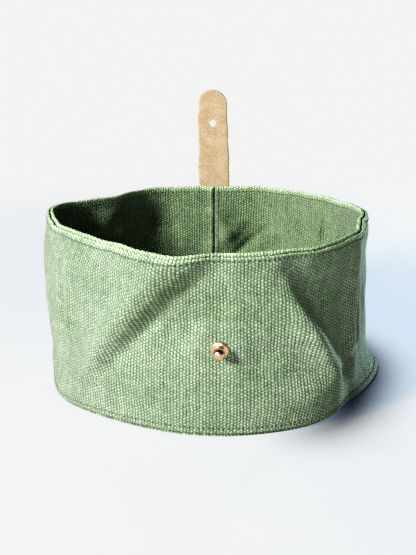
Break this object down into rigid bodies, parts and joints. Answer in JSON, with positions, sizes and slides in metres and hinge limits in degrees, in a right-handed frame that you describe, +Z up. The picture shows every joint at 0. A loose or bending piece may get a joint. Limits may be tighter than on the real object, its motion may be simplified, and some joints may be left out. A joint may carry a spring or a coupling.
{
  "type": "fruit picking bag",
  "caption": "Round flat-bottomed canvas picking pouch with lining, leather belt loop and button strap that closes over a metal ball stud.",
  "frame": {"origin": "centre of the base's flat underside, where the bag stands", "axes": "+Z up towards the mouth, -Y to the front where the stud is, +Y to the back where the strap and belt loop are, +X to the right as seen from the front"},
  "size_m": [0.2112, 0.216, 0.1654],
  "materials": {
    "outer_canvas": "coarse plain-weave cotton canvas, sage green, matt",
    "lining_canvas": "the same canvas, inside, a little deeper in colour",
    "thread": "sage green sewing thread",
    "leather": "vegetable-tanned, suede flesh side to the front",
    "copper": "polished copper-coloured metal"
  },
  "bodies": {
    "bag": {"outer_wall": "outer_canvas", "outer_base": "outer_canvas", "lining_wall": "lining_canvas", "lining_base": "lining_canvas", "rim_topstitch_outside": "thread", "rim_topstitch_inside": "thread", "base_topstitch": "thread", "strap_belt_loop": "leather", "stud_backing_washer": "leather", "lower_rivet_post": "copper", "lower_rivet_cap": "copper", "upper_rivet_post": "copper", "upper_rivet_cap": "copper", "stud": "copper", "stud_screw": "copper"},
    "strap_lower": {"strap_flap_lower": "leather"},
    "strap_middle": {"strap_flap_middle": "leather"},
    "strap_tip": {"strap_flap_tip": "leather"}
  },
  "joints": [
    {"name": "strap_root_bend", "type": "hinge", "parent": "bag", "child": "strap_lower", "pos_m": [0, 0.10245, 0.103], "axis": [1, 0, 0], "range_deg": [-100, 100], "stiffness_Nm_per_rad": 0.05},
    {"name": "strap_middle_bend", "type": "hinge", "parent": "strap_lower", "child": "strap_middle", "pos_m": [0, 0.10245, 0.117], "axis": [1, 0, 0], "range_deg": [-45, 45], "stiffness_Nm_per_rad": 0.04},
    {"name": "strap_tip_bend", "type": "hinge", "parent": "strap_middle", "child": "strap_tip", "pos_m": [0, 0.10245, 0.131], "axis": [1, 0, 0], "range_deg": [-45, 45], "stiffness_Nm_per_rad": 0.04}
  ]
}
